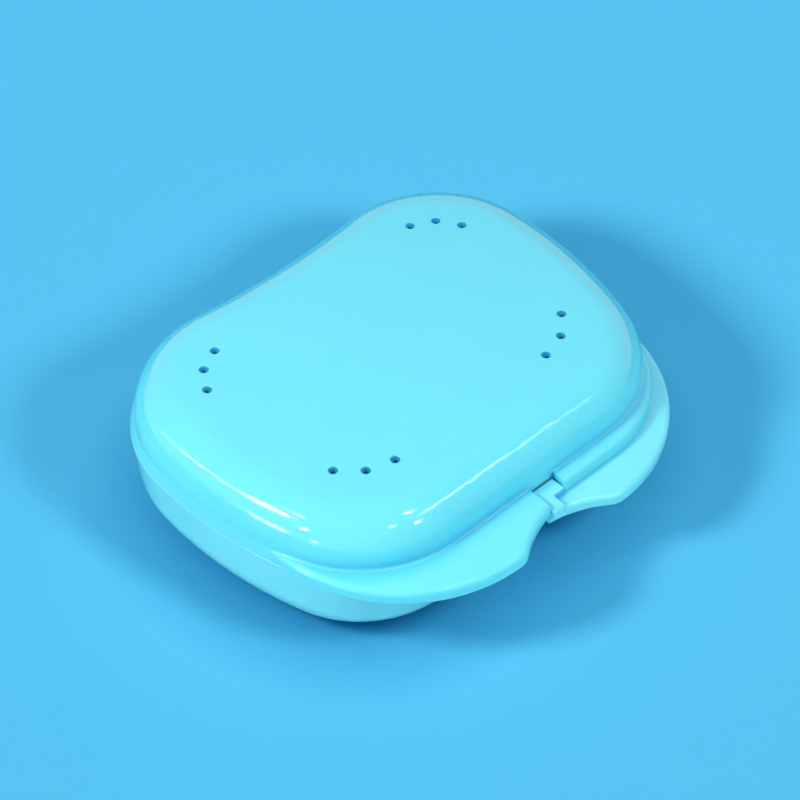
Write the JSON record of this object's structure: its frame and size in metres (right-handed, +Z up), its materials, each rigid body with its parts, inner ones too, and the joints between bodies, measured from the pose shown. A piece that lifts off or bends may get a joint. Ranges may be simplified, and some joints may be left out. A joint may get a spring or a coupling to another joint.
{
  "type": "denture case",
  "caption": "Hinged, vented plastic case for a denture or dental retainer, with a kidney-shaped plan, a domed lid, offset thumb tabs and a front catch.",
  "frame": {"origin": "middle of the case's bounding box in plan, on the surface that the case stands on", "axes": "+X to the right seen from the front, where the thumb tabs are; +Y towards the hinge at the back; +Z up"},
  "size_m": [0.0846, 0.0778, 0.0274],
  "materials": {
    "case_plastic": "glossy light-cyan moulded plastic, slightly translucent",
    "pin_steel": "bright drawn wire"
  },
  "bodies": {
    "base": {"base": "case_plastic", "hinge_pin": "pin_steel"},
    "lid": {"lid": "case_plastic"}
  },
  "joints": [
    {"name": "lid_hinge", "type": "hinge", "parent": "base", "child": "lid", "pos_m": [0, 0.03728, 0.014], "axis": [-1, 0, 0], "range_deg": [0, 180]}
  ]
}
